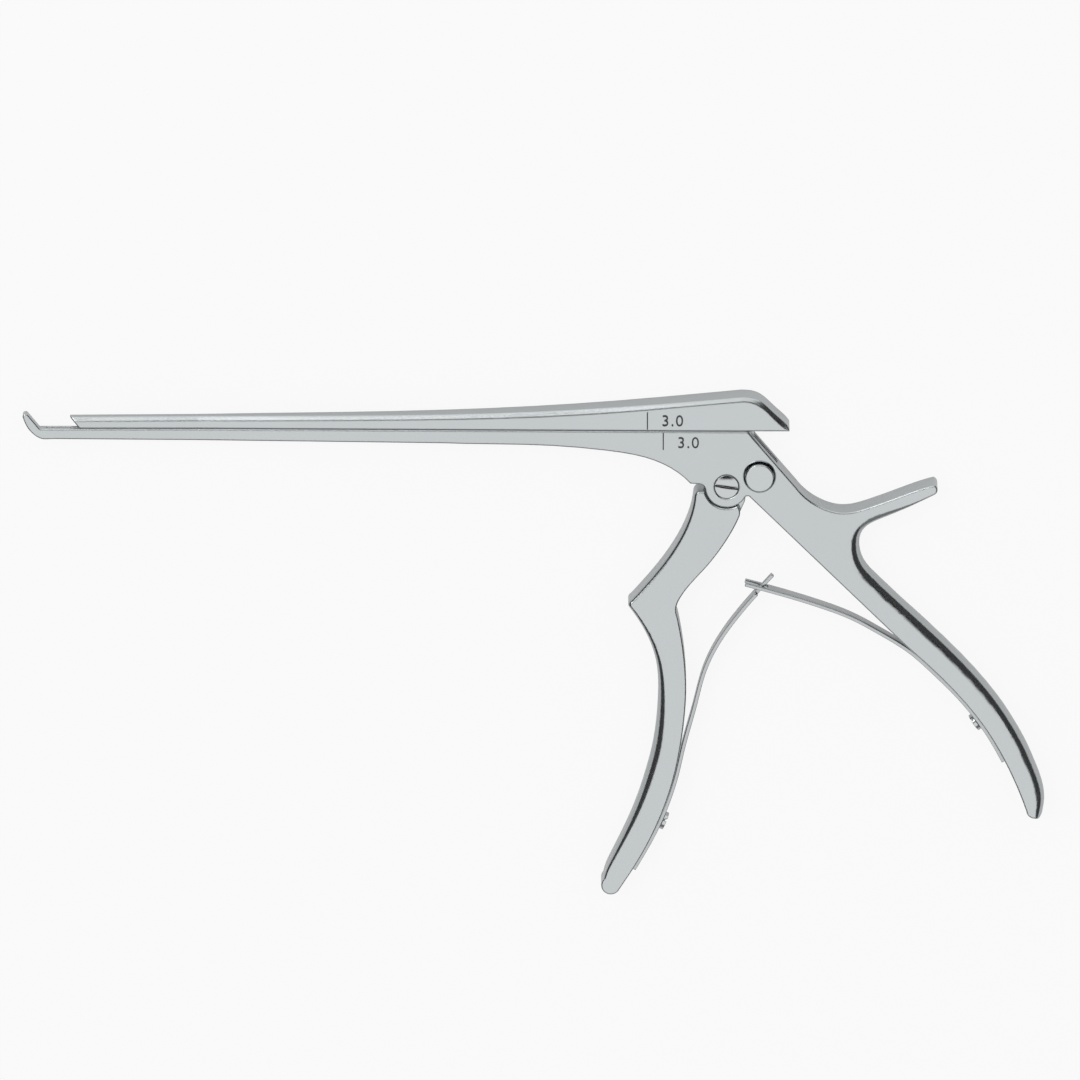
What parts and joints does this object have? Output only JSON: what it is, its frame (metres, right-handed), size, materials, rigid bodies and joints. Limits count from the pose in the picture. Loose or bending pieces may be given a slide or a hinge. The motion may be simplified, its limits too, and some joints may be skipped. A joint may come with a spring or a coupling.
{
  "type": "bone rongeur",
  "caption": "Take-apart bone punch rongeur: long shaft with an up-biting foot plate, sliding cutter shaft, squeeze handles with crossed leaf springs and a release button.",
  "frame": {"origin": "centre of the underside of the instrument's box, lying on its flat far side", "axes": "+X along the shaft towards the handles, +Y from the handles' ends up to the shaft, +Z out of the side that carries the release button"},
  "size_m": [0.271, 0.1378, 0.0103],
  "materials": {
    "satin_frame": "glass-bead satin",
    "satin_slider": "glass-bead satin",
    "satin_lever": "glass-bead satin",
    "bright_screw": "fine turned",
    "bright_pin": "ground",
    "satin_button": "satin",
    "spring_wire": "drawn wire",
    "spring_leaf": "brushed along its length"
  },
  "bodies": {
    "fixed_body": {"fixed_shaft_and_rear_handle": "satin_frame", "pivot_screw": "bright_screw", "button_plug": "bright_screw", "rear_leaf_spring": "spring_leaf", "rear_spring_screw": "bright_screw", "button_spring": "spring_wire"},
    "slider": {"sliding_shaft": "satin_slider"},
    "lever": {"front_handle": "satin_lever", "drive_pin": "bright_pin", "front_leaf_spring": "spring_leaf", "front_spring_screw": "bright_screw"},
    "release_button": {"button_cap": "satin_button", "release_bolt": "bright_pin"}
  },
  "joints": [
    {"name": "handle_squeeze", "type": "hinge", "parent": "fixed_body", "child": "lever", "pos_m": [0.05083, 0.04429, 0.0042], "axis": [0, 0, 1], "range_deg": [0, 30], "stiffness_Nm_per_rad": 0.6, "springref_deg": -5.73, "deforming": ["rear_leaf_spring", "front_leaf_spring"]},
    {"name": "cutter_slide", "type": "slide", "parent": "fixed_body", "child": "slider", "axis": [-1, 0, 0], "range_m": [0, 0.0106]},
    {"name": "release_press", "type": "slide", "parent": "fixed_body", "child": "release_button", "axis": [0, 0, -1], "range_m": [0, 0.0012], "stiffness_N_per_m": 900, "springref_m": -0.0005, "deforming": ["button_spring"]}
  ],
  "couplings": [
    {"joint": "cutter_slide", "follows": "handle_squeeze", "m_per_rad": 0.019772}
  ]
}
